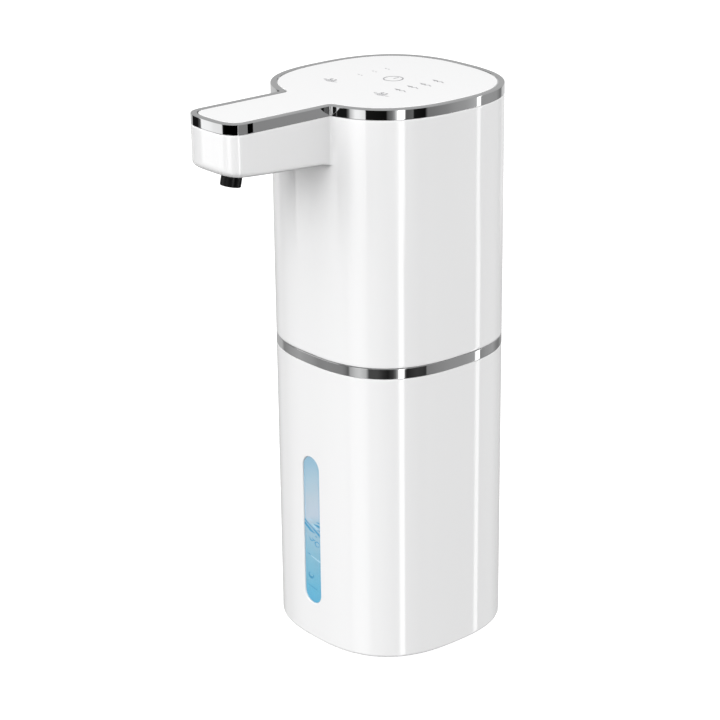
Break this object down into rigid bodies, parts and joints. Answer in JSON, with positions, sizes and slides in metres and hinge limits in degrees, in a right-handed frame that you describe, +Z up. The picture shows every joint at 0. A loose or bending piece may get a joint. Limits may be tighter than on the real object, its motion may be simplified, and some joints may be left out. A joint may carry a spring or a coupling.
{
  "type": "soap dispenser",
  "caption": "Touch-free foam soap dispenser: a rounded-square white tank with a level window under a lift-off pump head with a flat spout and chrome trim, and a wall plate behind.",
  "frame": {"origin": "on the resting plane, on the vertical axis of the body", "axes": "+Z up, the spout points along -Y, the wall is at +Y, +X to the right seen from the front"},
  "size_m": [0.0756, 0.1203, 0.2051],
  "materials": {
    "white_plastic": "polished white ABS",
    "chrome_trim": "bright mirror plating",
    "clear_window": "clear moulded window with soap behind it",
    "black_plastic": "satin black",
    "dark_lens": "infrared-clear dark lens",
    "pad_rubber": "matt grey rubber",
    "silicone": "matt white silicone",
    "hose": "translucent hose",
    "inner_plastic": "plain moulded plastic",
    "circuit_board": "green circuit board",
    "lamp": "milky light guide",
    "battery_wrap": "blue shrink wrap over a metal can",
    "steel": "plated steel",
    "iron_core": "stacked iron laminations",
    "magnet": "ferrite",
    "foam_tape": "grey foam adhesive",
    "soap": "pale blue liquid soap"
  },
  "bodies": {
    "tank": {"tank_shell": "white_plastic", "level_window": "clear_window", "base_pad": "pad_rubber"},
    "head": {"head_shell": "white_plastic", "mid_band": "chrome_trim", "top_rim": "chrome_trim", "top_plate": "white_plastic", "head_base": "inner_plastic", "tank_gasket": "silicone", "base_screw_1": "steel", "base_screw_2": "steel", "base_screw_3": "steel", "base_screw_4": "steel", "suction_tube": "hose", "suction_filter": "inner_plastic", "nozzle_body": "black_plastic", "foam_mesh": "steel", "outlet_hose": "hose", "inlet_hose": "hose", "sensor_window": "dark_lens", "ir_emitter": "dark_lens", "ir_receiver": "dark_lens", "sensor_board": "circuit_board", "touch_board": "circuit_board", "power_light_guide": "lamp", "level_led_1": "lamp", "level_led_2": "lamp", "level_led_3": "lamp", "level_led_4": "lamp", "battery_cell": "battery_wrap", "battery_holder": "inner_plastic", "main_board": "circuit_board", "control_chip": "black_plastic", "charge_board": "circuit_board", "usb_socket": "steel", "ribbon_cable": "lamp", "pump_cushion": "pad_rubber", "pump_head": "inner_plastic", "pump_diaphragm": "silicone", "pump_frame": "inner_plastic", "wobble_plate": "inner_plastic", "motor_can": "steel", "motor_endcap": "black_plastic", "motor_magnet_1": "magnet", "motor_magnet_2": "magnet"},
    "rotor": {"motor_shaft": "steel", "armature": "iron_core", "eccentric_wheel": "inner_plastic", "drive_pin": "steel"},
    "port_flap": {"port_cover": "silicone"},
    "wall_bracket": {"wall_plate": "white_plastic", "adhesive_pad": "foam_tape"}
  },
  "joints": [
    {"name": "head_lift", "type": "slide", "parent": "tank", "child": "head", "axis": [0, 0, 1], "range_m": [0, 0.115]},
    {"name": "rotor_spin", "type": "hinge", "parent": "head", "child": "rotor", "pos_m": [0.012, -0.003, 0.15], "axis": [0, 0, 1], "continuous": true},
    {"name": "port_flap_hinge", "type": "hinge", "parent": "head", "child": "port_flap", "pos_m": [0, 0.03905, 0.1209], "axis": [-1, 0, 0], "range_deg": [0, 110]},
    {"name": "bracket_slide", "type": "slide", "parent": "head", "child": "wall_bracket", "axis": [0, 0, -1], "range_m": [0, 0.012]}
  ]
}
